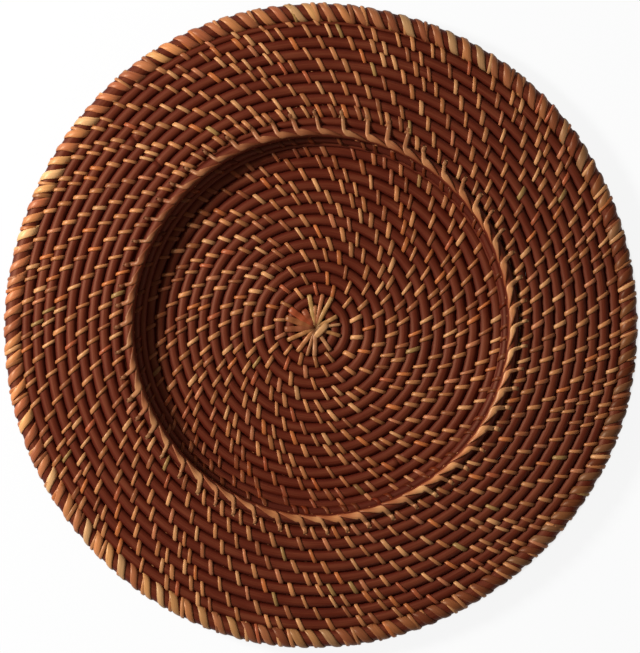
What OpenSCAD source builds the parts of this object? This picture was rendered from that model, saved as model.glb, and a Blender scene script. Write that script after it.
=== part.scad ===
// Round coiled rattan charger plate: a sunken well, a raised ridge, a falling rim and a lashed border.
// Round core rods wind outward clockwise, seen from above, and split-peel strips bind each turn to the last.
// The origin is the middle of the base, on the surface the plate stands on. Millimetres and degrees.

/* [Plate] */
// Diameter over the lashed border
plate_d = 330; // [305:1:380]
// Diameter inside the ridge hoop
well_d = 193; // [150:0.2:214]
// Fall of the rim from the ridge to the border
rim_fall = 4; // [0:0.5:8]
// Drop from the middle of the ridge hoop to the first rim turn
ridge_stand = 1.4; // [0.6:0.1:2.4]

/* [Core rods] */
// Diameter of the core rod
rod_d = 4.9; // [4.2:0.1:5.4]
// Diameter of the hoop on the ridge
ridge_d = 6; // [5:0.1:7]
// Diameter of the hoop in the border
border_d = 5.2; // [4.8:0.1:6]
// Least gap between neighbouring rods, which the strips pass through
rod_gap = 0.95; // [0.9:0.05:1.6]
// Radius of the hole at the start of the coil
eye_r = 2.6; // [2.4:0.1:5]
// Angle from the floor's last turn up to the wall hoop
wall_tilt = 52; // [46:1:60]
// Angle from the wall hoop up to the ridge hoop
ridge_tilt = 66; // [58:1:74]
// Lift of the floor's last two turns, where it starts to curve up
edge_lift = 0.6; // [0.5:0.1:1.2]

/* [Binding] */
// Width of a binding strip
strip_w = 2.2; // [1.6:0.1:2.6]
// Thickness of a binding strip
strip_t = 0.6; // [0.4:0.05:0.65]
// Clearance between a strip and the rods it binds
strip_fit = 0.14; // [0.1:0.01:0.16]
// Gap between stitches at which the next turn takes two in place of one, on average
stitch_step = 19.5; // [17:0.5:26]
// Distance that a stitch leans along the rod from its inner to its outer end
stitch_lean = 4.2; // [2:0.1:4.6]
// Number of arms in the star at the centre
star_arms = 14; // [9:1:15]

/* [Border] */
// Width of a border wrap
wrap_w = 3.1; // [2.5:0.1:3.3]
// Distance between border wraps
wrap_pitch = 8.2; // [7.5:0.1:12]
// Slant of a border wrap
wrap_slant = 45; // [30:1:48]

/* [Hidden] */
$fn = 48;
rod_colour = "#5c2a1a";
hoop_colour = "#6d3a22";
strip_colour = "#a9744a";
wrap_colour = "#b98a55";

// Bends at each end of a loop that is seen round its rods, and of a flat one, and the reach of a loop's corners
loop_bends = 4;
flat_bends = 2;
function bend_reach(bends) = 1/cos(90/bends);
// Half heights inside and outside a loop round the core rod
loop_in = rod_d/2 + strip_fit;
loop_out = loop_in + strip_t;
// Distance between the middles of two neighbouring rods, and from the wall hoop to the ridge hoop
rod_pitch = rod_d + rod_gap;
hoop_pitch = ridge_d/2 + bend_reach(loop_bends)*loop_out + strip_fit/2;
// Half heights of the border wraps, which lie over the border binding
wrap_in = bend_reach(loop_bends)*(border_d/2 + strip_fit + strip_t) + strip_fit;
wrap_out = wrap_in + strip_t;
// Butt gap at the splice of a closed hoop
splice_gap = 0.3;

// Heights of the rods' middles
floor_z = loop_out;
edge_z = floor_z + edge_lift;
wall_z = edge_z + rod_pitch*sin(wall_tilt);
ridge_z = wall_z + hoop_pitch*sin(ridge_tilt);
rim_z = ridge_z - ridge_stand;

// Radii of the rods' middles
ridge_r = well_d/2 + ridge_d/2;
wall_r = ridge_r - hoop_pitch*cos(ridge_tilt);
well_r0 = eye_r + rod_d/2;
well_r1 = wall_r - rod_pitch*cos(wall_tilt);
rim_r0 = ridge_r + sqrt(hoop_pitch^2 - ridge_stand^2);
border_r = plate_d/2 - wrap_out;
rim_r1 = border_r - (wrap_out + strip_fit + loop_out);
border_z = rim_height(border_r);

// Each coil is [first radius, last radius, whole turns, angle of its start]
well_turns = floor((well_r1 - well_r0)/rod_pitch);
rim_turns = floor((rim_r1 - rim_r0)/rod_pitch);
well = [well_r0, well_r1, well_turns, 300];
rim = [rim_r0, rim_r1, rim_turns, 135];
// Turns over which the floor lifts at its edge, and half turns at which one length of rod is spliced to the next
lift_turns = 2;
well_splice = 2*(well_turns - lift_turns);
rim_splice_1 = 2*round(rim_turns*0.4);
rim_splice_2 = 2*round(rim_turns*0.75);
// Share of a turn over which a rod's end is shaved to a tail, share of the tail that leaves the coil, its thickness, and
// the share by which it is seated in the rod
tail_turn = 0.62;
tail_leave = 0.25;
tail_tip = 1.1;
tail_start = rod_d - 0.2;
tail_seat = 0.004;
tail_rings = 40;
tail_sides = 8;

// Heights along a coil follow this power of the radius, a shallow dish in which tilted half turns meet exactly
function dish(r) = pow(r, 1.5);
function dish_slope(r) = 1.5*sqrt(r);
// Rim height at a radius, falling away from the ridge
function rim_height(r) = rim_z - tan(rim_fall)*(dish(r) - dish(rim_r0))/dish_slope((rim_r0 + rim_r1)/2);
// Floor height at a radius, lifting over the last turns
lift_r = well_r1 - lift_turns*coil_pitch(well);
function floor_height(r) = floor_z + edge_lift*max(0, dish(r) - dish(lift_r))/(dish(well_r1) - dish(lift_r));

function coil_pitch(coil) = (coil[1] - coil[0])/coil[2];
// Radius and height of a coil at the end of a half turn, in whole steps so that half turns meet exactly
radius_step = 0.002;
height_step = 0.0002;
function whole(value, step) = round(value/step)*step;
function coil_section(coil, half) =
    let (r = whole(coil[0] + half*coil_pitch(coil)/2, radius_step))
    [r, whole(coil == rim ? rim_height(r) : floor_height(r), height_step)];
// That end in the coil's own plane where y is 0: sides alternate as the coil runs clockwise
function coil_end(coil, half) =
    let (section = coil_section(coil, half))
    [half % 2 == 0 ? section[0] : -section[0], section[1]];
// Radius and height of one turn at an angle from the coil's start, measured anticlockwise
function coil_at(coil, turn, angle) =
    let (
        a = (angle % 360 + 360) % 360,
        half = 2*turn + (a < 180 ? 1 : 0),
        p = coil_end(coil, half),
        q = coil_end(coil, half + 1),
        middle = (p[0] + q[0])/2,
        radius = abs(q[0] - p[0])/2,
        r = middle*cos(a) + sqrt(radius^2 - (middle*sin(a))^2)
    )
    [r, p[1] + (q[1] - p[1])*(r*cos(a) - p[0])/(q[0] - p[0])];
// The same from an angle of the plate
function turn_at(coil, turn, angle) = coil_at(coil, turn, angle - coil[3]);

// Least gap between neighbouring turns of a coil, measured on points
function least_gap(coil) =
    min([
        for (turn = [0:coil[2] - 2])
            for (a = [5:10:355])
                norm(coil_at(coil, turn + 1, a) - coil_at(coil, turn, a)) - rod_d
    ]);

// Each row of stitches joins an inner rod to an outer one: [kind, turn]
last_well = well_turns - 1;
last_rim = rim_turns - 1;
rows = concat(
    [for (turn = [1:last_well - 1]) ["well", turn]],
    [["wall", last_well], ["ridge", 0], ["seam", 0]],
    [for (turn = [0:last_rim - 1]) ["rim", turn]],
    [["border", last_rim]]
);
first_wall = last_well - 1;
first_rim = first_wall + 3;
// Hoops, each [radius, height, rod diameter]
wall_rod = [wall_r, wall_z, rod_d];
ridge_rod = [ridge_r, ridge_z, ridge_d];
border_rod = [border_r, border_z, border_d];
border_rod_wrapped = [border_r, border_z, 2*wrap_out];

// Inner and outer rod of a row at an angle, in the same form
function inner_rod(row, angle) =
    row[0] == "well" ? concat(turn_at(well, row[1], angle), rod_d) :
    row[0] == "wall" ? end_rod(well, 2*well_turns, row[1], wall_rod, angle) :
    row[0] == "ridge" ? wall_rod :
    row[0] == "seam" ? ridge_rod :
    row[0] == "rim" ? concat(turn_at(rim, row[1], angle), rod_d) :
    end_rod(rim, 2*rim_turns, row[1], border_rod_wrapped, angle);
function outer_rod(row, angle) =
    row[0] == "well" ? concat(turn_at(well, row[1] + 1, angle), rod_d) :
    row[0] == "wall" ? wall_rod :
    row[0] == "ridge" ? ridge_rod :
    row[0] == "seam" ? end_rod(rim, 0, 0, ridge_rod, angle) :
    row[0] == "rim" ? concat(turn_at(rim, row[1] + 1, angle), rod_d) :
    border_rod;
// First or last turn of a coil beside a hoop, or its tail for as long as that is leaving the coil
function end_rod(coil, half, turn, rod, angle) =
    let (
        ahead = ((angle - coil[3]) % 360 + 360) % 360,
        share = (half == 0 ? ahead : 360 - ahead)/360/tail_turn
    )
    share < tail_leave
        ? tail_at(coil, turn, coil_section(coil, half), rod, share, ahead)
        : concat(coil_at(coil, turn, ahead), rod_d);
function row_radius(row) = (inner_rod(row, 90)[0] + outer_rod(row, 90)[0])/2;

// Lean of a row, full from this radius outward, less towards the centre and half where the rows bend
lean_radius = 60;
bent_lean = 0.5;
bent_kinds = ["wall", "ridge", "seam"];
function row_lean(row) =
    stitch_lean*min(1, row_radius(row)/lean_radius)*(search([row[0]], bent_kinds) == [[]] ? 1 : bent_lean);
// Clear room between strips of two rows, edge to edge, and least distance between two stitches of one row
stitch_room = 0.8;
stitch_least = 7;
// Shares of a gap at which one stitch, or the first and second of two, stand
one_share = 0.42;
first_share = 0.28;
second_share = 0.75;
// The gap that counts as wide differs from place to place by this share either way, spread by the golden ratio
wide_spread = 0.22;
function is_wide(gap, i, index) =
    gap > stitch_step*(1 + wide_spread*(2*((i*0.618 + index*0.371) % 1) - 1));
// Turn that moves an angle clear of a row: a stitch there blocks the angles around a place ahead of it
function push(angle, row, ahead, around) =
    max([
        0,
        for (other = row)
            let (past = ((angle - other - ahead) % 360 + 540) % 360 - 180)
            if (abs(past) < around) around - past
    ]);
settle_tries = 6;
settle_step = 0.001;
function settle(angle, inside, beyond, near, far, around, tries = settle_tries) =
    let (turn = max(push(angle, inside, near, around), push(angle, beyond, far, around)))
    turn == 0 || tries == 0
        ? angle
        : settle(angle + turn + settle_step, inside, beyond, near, far, around, tries - 1);
// A stitch stands in each gap of the row inside it, and a wide gap takes two, clear of that row and the one beyond
function next_row(inside, beyond, index) =
    let (
        row = rows[index],
        count = len(inside),
        mm = PI*inner_rod(row, 90)[0]/180,
        near = (row_lean(row) + row_lean(rows[index - 1]))/4/mm,
        far = (row_lean(row) + row_lean(rows[max(0, index - 2)]))/2/mm,
        around = (strip_w + stitch_room)/mm,
        angles = [
            for (i = [0:count - 1])
                let (
                    start = inside[i],
                    gap = (i == count - 1 ? inside[0] + 360 : inside[i + 1]) - start,
                    places = is_wide(gap*mm, i, index) ? [first_share, second_share] : [one_share]
                )
                for (place = places)
                    settle(start + place*gap, inside, beyond, near, far, around)
        ]
    )
    spaced(angles, stitch_least/mm);
// Angles of a row without those that come too near the one before, or the first again
function spaced(angles, least) =
    [
        for (i = 0, last = angles[0] - 360; i < len(angles); last = max(last, clear(angles, i, last, least)), i = i + 1)
            if (clear(angles, i, last, least) == angles[i]) angles[i]
    ];
function clear(angles, i, last, least) =
    angles[i] - last >= least && (i == 0 || angles[0] + 360 - angles[i] >= least) ? angles[i] : last;
star_angles = [for (i = [0:star_arms - 1]) i*360/star_arms];
first_angles = [for (i = [0:2:star_arms - 1]) star_angles[i] + 180/star_arms];
// Angles of every row, each grown from the two inside it
function grow(list) =
    let (index = len(list))
    index == len(rows)
        ? list
        : grow(concat(list, [next_row(list[index - 1], index > 1 ? list[index - 2] : star_angles, index)]));
row_angles = grow([first_angles]);

// Half turns of a coil from one splice to the next, as one tube whose ends meet in the plane where y is 0
module coil_length(coil, first, last) {
    rotate(coil[3])
        for (half = [first:last - 1]) {
            p = coil_end(coil, half);
            q = coil_end(coil, half + 1);
            start = half % 2 == 0 ? 180 : 0;
            translate([(p[0] + q[0])/2, 0, (p[1] + q[1])/2])
                rotate([0, -atan((q[1] - p[1])/(q[0] - p[0])), 0])
                    rotate_extrude(angle = 180, start = start)
                        translate([abs(q[0] - p[0])/2, 0])
                            circle(d = rod_d);
        }
}

// Middle and diameter of a shaved tail at an angle, between a turn of its coil and the hoop beside it
function tail_at(coil, turn, end, rod, share, angle) =
    let (
        beside = coil_at(coil, turn, angle),
        hoop = [rod[0], rod[1]],
        along = beside - hoop,
        edge = rod[2]/2 + rod_gap,
        free = norm(along) - edge - rod_gap - rod_d/2,
        middle = hoop + along/norm(along)*(edge + free/2),
        part = max(0, min(1, share/tail_leave)),
        leave = part*part*(3 - 2*part)
    )
    concat(end + (middle - end)*leave, tail_start + (min(tail_start, max(tail_tip, free)) - tail_start)*leave);
// Shaved end of a coil, leading in at its start or trailing off at its end
module coil_tail(coil, half, turn, rod) {
    end = coil_section(coil, half);
    leads = half == 0;
    sign = leads ? 1 : -1;
    points = [
        for (ring = [0:tail_rings])
            let (
                share = ring/tail_rings*(1 + tail_seat) - tail_seat,
                angle = sign*share*tail_turn*360,
                tail = tail_at(coil, turn, end, rod, share, angle)
            )
            for (side = [0:tail_sides - 1])
                let (
                    a = 360*side/tail_sides,
                    r = tail[0] + tail[2]/2*cos(a)
                )
                [r*cos(angle), r*sin(angle), tail[1] + tail[2]/2*sin(a)]
    ];
    last = tail_rings*tail_sides;
    walls = [
        for (ring = [0:tail_rings - 1])
            for (side = [0:tail_sides - 1])
                let (
                    a = ring*tail_sides + side,
                    b = ring*tail_sides + (side + 1) % tail_sides,
                    c = a + tail_sides,
                    d = b + tail_sides
                )
                each [[a, c, b], [b, c, d]]
    ];
    caps = [
        for (side = [1:tail_sides - 2])
            each [[0, side, side + 1], [last, last + side + 1, last + side]]
    ];
    faces = [for (face = concat(walls, caps)) leads ? [face[0], face[2], face[1]] : face];
    rotate(coil[3])
        polyhedron(points, faces);
}

// Closed hoop of rod with its two ends butted together
module hoop(rod, splice) {
    gap_angle = splice_gap/rod[0]*180/PI;
    translate([0, 0, rod[1]])
        rotate_extrude(angle = 360 - gap_angle, start = splice)
            translate([rod[0], 0])
                circle(d = rod[2]);
}

// Outline round two rods, in the plane across them, with two or four bends at each end
function loop_outline(half, r0, r1, bends) =
    let (step = 180/bends, k = bend_reach(bends))
    concat(
        [for (i = [0:bends - 1]) let (a = -90 + step*(i + 0.5)) [half + k*r1*cos(a), k*r1*sin(a)]],
        [for (i = [0:bends - 1]) let (a = 90 + step*(i + 0.5)) [-half + k*r0*cos(a), k*r0*sin(a)]]
    );
// Flat band between two such outlines
module band(half, r0, r1, bends, width) {
    points = concat(loop_outline(half, r0 + strip_t, r1 + strip_t, bends), loop_outline(half, r0, r1, bends));
    count = 2*bends;
    rotate([90, 0, 0])
        linear_extrude(height = width, center = true)
            polygon(points, paths = [[for (i = [0:count - 1]) i], [for (i = [0:count - 1]) count + i]]);
}
// Slanted block as wide as a strip, which may widen from its inner to its outer end
module slant(x0, x1, slope, width0, width1, height) {
    linear_extrude(height = height, center = true)
        polygon([
            [x0, x0*slope - width0/2],
            [x1, x1*slope - width1/2],
            [x1, x1*slope + width1/2],
            [x0, x0*slope + width0/2]
        ]);
}

// Strip looped round two rods, leaning along them, with its legs parallel to the rods
module loop(inner, outer, angle, width0, width1, lean, bends) {
    along = [outer[0] - inner[0], outer[1] - inner[1]];
    half = norm(along)/2;
    r0 = inner[2]/2 + strip_fit;
    r1 = outer[2]/2 + strip_fit;
    slope = lean/(2*half + r0 + r1);
    rotate(angle)
        translate([(inner[0] + outer[0])/2, 0, (inner[1] + outer[1])/2])
            rotate([0, -atan2(along[1], along[0]), 0])
                intersection() {
                    band(half, r0, r1, bends, 2*(lean + width1));
                    slant(-half - 2*r0, half + 2*r1, slope, width0, width1, 4*max(r0, r1));
                }
}

// One stitch of a row
module stitch(index, angle) {
    row = rows[index];
    flat = index < first_wall - lift_turns || row[0] == "rim";
    // A bent end reaches a little lower once it is tilted, so on the floor it is raised within its clearance
    raise = flat || index > first_wall ? 0 : 0.9*strip_fit;
    translate([0, 0, raise])
        loop(inner_rod(row, angle), outer_rod(row, angle), angle, strip_w, strip_w, row_lean(row),
             flat ? flat_bends : loop_bends);
}
// Stitches of the rows from one index to another, or one share of them in the order that they are sewn
module stitches(first, last, share = 1, shares = 1) {
    run = [for (index = [first:last]) for (angle = row_angles[index]) [index, angle]];
    count = len(run);
    for (i = [round(count*(share - 1)/shares):1:round(count*share/shares) - 1])
        stitch(run[i][0], run[i][1]);
}

// Star of wedge-shaped arms that bind the first two turns through the eye
arm_tip_w = 2*PI*(eye_r - strip_fit - strip_t)/star_arms - 2*strip_fit;
module star() {
    for (angle = star_angles)
        loop(concat(turn_at(well, 0, angle), rod_d), concat(turn_at(well, 1, angle), rod_d), angle,
             arm_tip_w, strip_w, 0, flat_bends);
}

// Border wraps, slanted, whose inner legs stand in the gaps of the border binding
module wraps() {
    angles = row_angles[len(rows) - 1];
    count = len(angles);
    mm = PI*(border_r - wrap_out)/180;
    lean = 2*wrap_out*tan(wrap_slant);
    width = wrap_w/cos(wrap_slant);
    // Room from a stitch to the leg after it, and from a leg to the stitch after it, which its slant takes more of
    after = (width + strip_w)/2;
    before = after + (wrap_out - wrap_in*tan(90/loop_bends))*tan(wrap_slant);
    for (i = [0:count - 1]) {
        gap = (i == count - 1 ? angles[0] + 360 : angles[i + 1]) - angles[i];
        more = max(0, round((gap*mm - after - before)/wrap_pitch));
        for (copy = [0:more])
            rotate(angles[i] + gap*(after + copy*wrap_pitch)/(after + before + more*wrap_pitch) + lean/2/mm)
                wrap(lean, width);
    }
}
module wrap(lean, width) {
    translate([border_r, 0, border_z])
        intersection() {
            band(0, wrap_in, wrap_in, loop_bends, 4*lean + 2*width);
            slant(-2*wrap_out, 2*wrap_out, lean/2/wrap_out, width, width, 4*wrap_out);
        }
}

module well_core_inner() {
    color(rod_colour)
        coil_length(well, 0, well_splice);
}
module well_core_outer() {
    color(rod_colour) {
        coil_length(well, well_splice, 2*well_turns);
        coil_tail(well, 2*well_turns, last_well, wall_rod);
    }
}
module wall_hoop() {
    color(rod_colour)
        hoop(wall_rod, 40);
}
module ridge_hoop() {
    color(hoop_colour)
        hoop(ridge_rod, 215);
}
module rim_core_inner() {
    color(rod_colour) {
        coil_tail(rim, 0, 0, ridge_rod);
        coil_length(rim, 0, rim_splice_1);
    }
}
module rim_core_middle() {
    color(rod_colour)
        coil_length(rim, rim_splice_1, rim_splice_2);
}
module rim_core_outer() {
    color(rod_colour) {
        coil_length(rim, rim_splice_2, 2*rim_turns);
        coil_tail(rim, 2*rim_turns, last_rim, border_rod_wrapped);
    }
}
module border_hoop() {
    color(hoop_colour)
        hoop(border_rod, 80);
}

// Flat rows of the floor, shared out among three lengths of strip
flat_rows = first_wall - lift_turns - 1;
module well_binding(share) {
    color(strip_colour)
        stitches(0, flat_rows - 1, share, 3);
}
// Last flat row of the floor, whose undersides the plate stands on
module foot_binding() {
    color(strip_colour)
        stitches(flat_rows, flat_rows);
}
// Rows where the floor curves up
module floor_edge_binding() {
    color(strip_colour)
        stitches(flat_rows + 1, first_wall - 1);
}
module wall_binding() {
    color(strip_colour)
        stitches(first_wall, first_wall);
}
module ridge_binding() {
    color(strip_colour)
        stitches(first_wall + 1, first_wall + 1);
}
module rim_seam_binding() {
    color(strip_colour)
        stitches(first_wall + 2, first_wall + 2);
}
// Rows of the rim, shared out among four lengths of strip
module rim_binding(share) {
    color(strip_colour)
        stitches(first_rim, first_rim + last_rim - 1, share, 4);
}
module border_binding() {
    color(strip_colour)
        stitches(first_rim + last_rim, first_rim + last_rim);
}
module star_binding() {
    color(strip_colour)
        star();
}
module border_wraps() {
    color(wrap_colour)
        wraps();
}

echo(well_gap = least_gap(well), rim_gap = least_gap(rim));
echo(well_turns = well_turns, rim_turns = rim_turns, rows = len(rows),
     stitches = [for (angles = row_angles) len(angles)]);

well_core_inner();
well_core_outer();
wall_hoop();
ridge_hoop();
rim_core_inner();
rim_core_middle();
rim_core_outer();
border_hoop();
star_binding();
well_binding(1);  // well_binding_1
well_binding(2);  // well_binding_2
well_binding(3);  // well_binding_3
foot_binding();
floor_edge_binding();
wall_binding();
ridge_binding();
rim_seam_binding();
rim_binding(1);  // rim_binding_1
rim_binding(2);  // rim_binding_2
rim_binding(3);  // rim_binding_3
rim_binding(4);  // rim_binding_4
border_binding();
border_wraps();
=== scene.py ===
import bpy
import math
import numpy as np
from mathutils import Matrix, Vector


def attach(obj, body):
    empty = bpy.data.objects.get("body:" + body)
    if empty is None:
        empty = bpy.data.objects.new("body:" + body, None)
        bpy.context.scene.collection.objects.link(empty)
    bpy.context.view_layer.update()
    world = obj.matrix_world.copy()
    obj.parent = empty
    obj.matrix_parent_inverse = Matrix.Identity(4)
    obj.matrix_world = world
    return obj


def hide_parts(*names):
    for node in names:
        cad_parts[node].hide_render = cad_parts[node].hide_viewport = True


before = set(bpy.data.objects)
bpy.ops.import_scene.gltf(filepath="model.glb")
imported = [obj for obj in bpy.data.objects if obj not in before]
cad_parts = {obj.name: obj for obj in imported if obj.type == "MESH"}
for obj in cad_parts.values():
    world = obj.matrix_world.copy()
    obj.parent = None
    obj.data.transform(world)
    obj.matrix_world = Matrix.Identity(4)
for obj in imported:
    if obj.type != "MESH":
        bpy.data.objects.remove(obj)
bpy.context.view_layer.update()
print("frame loaded,", len(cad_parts), "nodes")

# sizes in mm, from the solids; rods and hoops are a little fatter here, so that no light shows between them
plate = {
    "rod": (3.0, 2.68),    # half width and half height of the coiled core rod
    # hoops: radius and height of the middle, half width and half height
    "wall": (96.847, 8.400, 2.65, 2.65),
    "ridge": (99.8, 14.359, 2.95, 3.0),
    "border": (160.7, 9.079, 4.35, 3.6),
    "floor": 3.28,          # height of the floor's rods
    "floorLift": 0.6,       # rise of the floor's last two turns
    "liftStart": 81.486,
    "rimTop": 12.959,
    "rimFall": 4.0,         # degrees
}
well = {
    "start": 5.05, "end": 93.245, "turns": 15, "angle": 300.0,
    "curl": -0.55, "shave": 0.85,       # where the shaved curl starts, in turns, and how fast it thins
}
# the rim's turns lie level with the ridge and the border
rim = {
    "start": 100.78, "pitch": 5.87, "angle": 135.0,
    "step": 0.36, "ease": 2.2,      # part of each turn in which it steps out by one rod, fast at first
    "first": 0.2, "turns": 9,       # turns at which the full rod starts and ends
    "from": 105.871, "to": 152.96,  # radii between which the rim falls
}
# how far the plate is from round, and how far its star is from the middle, as a hand leaves them
handMade = {
    "outline": {1: (-0.0027, 0.0011), 2: (-0.0088, 0.0039), 3: (0.0037, -0.0003), 5: (-0.0018, -0.0021)},
    "starShift": (-2.9, -1.4),
    "shiftReach": 92.0,
    "outlineReach": 160,    # radius from which the outline is fully out of round
    "sway": 0.08,           # sideways wander of a rod
    "calm": 60,             # radius inside which it wanders less
    "heave": 0.10,          # up and down, on the rim only
    "plump": 0.035,         # share by which a rod's thickness wanders
    "coilPlump": 0.6, "hoopPlump": 0.5,     # how much of that shows in coils and hoops
}
# size, rate and start of the waves in which a coiled rod wanders
coilWaves = {
    "sway": ((1, 33.1, 1.0), (0.7, 71.3, 0.4)),
    "heave": ((1, 41.7, 2.0), (0.6, 93.9, 0.0)),
    "plump": ((1, 27.3, 0.7), (0.6, 64.9, 1.9)),
}
milli = 0.001


def linearFromHex(code):
    parts = [int(code[i:i + 2], 16) / 255 for i in (1, 3, 5)]
    return [c / 12.92 if c <= 0.04045 else ((c + 0.055) / 1.055) ** 2.4 for c in parts]


def warp(points):
    x, y = points[:, 0], points[:, 1]
    radius = np.hypot(x, y)
    angle = np.arctan2(y, x)
    off = np.zeros(len(points))
    for k, (c, s) in handMade["outline"].items():
        off += c * np.cos(k * angle) + s * np.sin(k * angle)
    scale = 1 + off * np.minimum(1, radius / handMade["outlineReach"])
    near = np.clip(1 - (radius / handMade["shiftReach"]) ** 2, 0, 1)
    out = points.copy()
    out[:, 0] = x * scale + handMade["starShift"][0] * near
    out[:, 1] = y * scale + handMade["starShift"][1] * near
    return out


def coilHeight(coil, radius):
    if coil is rim:
        run = (radius ** 1.5 - rim["from"] ** 1.5) / (1.5 * math.sqrt((rim["from"] + rim["to"]) / 2))
        return plate["rimTop"] - math.tan(math.radians(plate["rimFall"])) * run
    if radius <= plate["liftStart"]:
        return plate["floor"]
    top = well["end"] ** 1.5 - plate["liftStart"] ** 1.5
    return plate["floor"] + plate["floorLift"] * (radius ** 1.5 - plate["liftStart"] ** 1.5) / top


def coilRadius(coil, turns):
    if coil is well:
        return well["start"] + (well["end"] - well["start"]) / well["turns"] * turns
    whole = math.floor(turns)
    part = min(1, (turns - whole) / rim["step"])
    return rim["start"] + rim["pitch"] * (whole + 1 - (1 - part) ** rim["ease"])


def wander(kind, turns):
    return handMade[kind] * sum(size * math.sin(rate * turns + start) for size, rate, start in coilWaves[kind])


# radius and height of a coil's rod after a number of turns, with its half width and half height
def coilRod(coil, turns):
    radius = coilRadius(coil, turns)
    sway = wander("sway", turns) * min(1, radius / handMade["calm"])
    lift = wander("heave", turns) if coil is rim else 0
    more = wander("plump", turns) * handMade["coilPlump"]
    wide, tall = plate["rod"]
    if coil is well:
        wide *= 1 + well["shave"] * min(0, turns)
    return radius + sway, coilHeight(coil, radius) + lift, wide * (1 + more / 2), tall * (1 + more)


def coilTurn(coil, turn, angle):
    return coilRod(coil, turn + ((coil["angle"] - angle) / 360) % 1)


def hoopRod(hoop, angle):
    a = math.radians(angle)
    sway = handMade["sway"] * (math.sin(7 * a + hoop[0]) + 0.7 * math.sin(13 * a))
    more = 1 + handMade["plump"] * handMade["hoopPlump"] * (math.sin(9 * a) + math.sin(17 * a + 1))
    return hoop[0] + sway, hoop[1], hoop[2] * more, hoop[3] * more


# shaved end of the floor's coil, in the wedge between its last turn and the wall hoop
tail = {"turn": 0.995, "leave": 0.25, "tip": 0.6, "squeeze": 0.5, "steps": 90, "stitchStep": 14}


def tailRod(share, angle):
    hoop = plate["wall"]
    endRod = np.array(coilRod(well, well["turns"]))
    beside = np.array(coilTurn(well, well["turns"] - 1, angle))
    along = beside[:2] - np.array(hoop[:2])
    edge = hoop[2] - tail["squeeze"]
    free = np.linalg.norm(along) - edge - beside[2] + tail["squeeze"]
    middle = np.array(hoop[:2]) + along / np.linalg.norm(along) * (edge + free / 2)
    part = min(1, max(0, share / tail["leave"]))
    leave = part * part * (3 - 2 * part)
    place = endRod[:2] + (middle - endRod[:2]) * leave
    thin = np.minimum(endRod[2:], max(tail["tip"], free / 2))
    wide, tall = endRod[2:] + (thin - endRod[2:]) * leave
    return place[0], place[1], wide, tall


# the floor's last rod at an angle, or its tail where that still leaves the coil
def floorEdge(angle):
    share = ((well["angle"] - angle) % 360) / 360 / tail["turn"]
    return tailRod(share, angle) if share < tail["leave"] else coilTurn(well, well["turns"] - 1, angle)


# shaved end of the rim's rod, in the wedge beside the border, and its start beside the ridge
wedge = {
    "leastGap": 0.4, "squeeze": 0.35, "lower": 0.2, "taller": 0.1,      # mm
    "startReach": 290, "startSteps": 120, "endReach": 110, "endSteps": 50,      # degrees
    "tied": 0.1, "stitched": 0.13, "stitches": 9,       # parts of a turn with the border's stitches and its own
}


def wedgeRod(angle, outside):
    part = ((rim["angle"] - angle) / 360) % 1
    if outside:
        r, z, wide, tall = coilRod(rim, rim["turns"] - 1 + part)
        free = max(wedge["leastGap"], plate["border"][0] - plate["border"][2] - r - wide)
        middle, height = r + wide + free / 2, (z + plate["border"][1]) / 2
    else:
        r, z, wide, tall = coilRod(rim, (1 if part < rim["first"] else 0) + part)
        free = max(wedge["leastGap"], r - wide - plate["ridge"][0] - plate["ridge"][2])
        middle, height = r - wide - free / 2, z - wedge["lower"]
    half = min(plate["rod"][0], free / 2 + wedge["squeeze"])
    return middle, height, half, half / plate["rod"][0] * plate["rod"][1] + wedge["taller"]


# the rim's first full rod at an angle, or its last one
def rimEdge(angle, outside):
    part = ((rim["angle"] - angle) / 360) % 1
    if outside:
        return wedgeRod(angle, True) if part < wedge["tied"] else coilRod(rim, rim["turns"] - 1 + part)
    return coilRod(rim, (1 if part < rim["first"] else 0) + part)


# a mesh from rings of points, each strand closed at both ends or joined to itself
def meshFromStrands(name, strands):
    verts, faces, grains, colours = [], [], [], []
    base = 0
    for strand in strands:
        rings, count, _ = strand["rings"].shape
        verts.append(warp(strand["rings"].reshape(-1, 3)) * milli)
        grains.append(strand["grain"].reshape(-1, 3))
        colours.append(np.repeat(strand["colour"], rings * count // len(strand["colour"]), 0))
        last = rings if strand["ring"] else rings - 1
        for k in range(last):
            a = base + k * count
            b = base + (k + 1) % rings * count
            for j in range(count):
                n = (j + 1) % count
                faces.append((a + j, b + j, b + n, a + n))
        if not strand["ring"]:
            faces.append(tuple(base + j for j in range(count)))
            faces.append(tuple(base + (rings - 1) * count + j for j in reversed(range(count))))
        base += rings * count
    mesh = bpy.data.meshes.new(name)
    mesh.from_pydata(np.concatenate(verts).tolist(), [], faces)
    grain = mesh.attributes.new("grain", "FLOAT_VECTOR", "POINT")
    grain.data.foreach_set("vector", np.concatenate(grains).astype(np.float32).ravel())
    tint = mesh.attributes.new("tint", "FLOAT_COLOR", "POINT")
    rgb = np.concatenate(colours)
    tint.data.foreach_set("color", np.hstack([rgb, np.ones((len(rgb), 1))]).astype(np.float32).ravel())
    mesh.polygons.foreach_set("use_smooth", [True] * len(mesh.polygons))
    mesh.update()
    piece = bpy.data.objects.new(name, mesh)
    bpy.context.collection.objects.link(piece)
    return piece


# a rod's crest is painted paler and its flanks towards the grooves darker: partly stain rubbed thin on the
# crest, partly painted light and shade; tilt turns the pale line inward
crestWearAndShade = {"low": 0.62, "high": 1.0, "most": 1.0, "tilt": 0.0}
# a dinner plate rubs the ridge's inner side; its paler inner flank is partly that wear and partly painted light
ridgeWearAndLight = {"low": 0.4, "high": 1.0, "most": 1.2, "tilt": 14.0}
# painted shade: the wall hoop down in the step is left dark, its crest barely paler
wallHoopShade = {"low": 0.7, "high": 1.0, "most": 0.2, "tilt": 0.0}
grainApart = {"rod": 977.0, "peel": 91.7}       # mm along the grain from one rod or strip to the next


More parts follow.
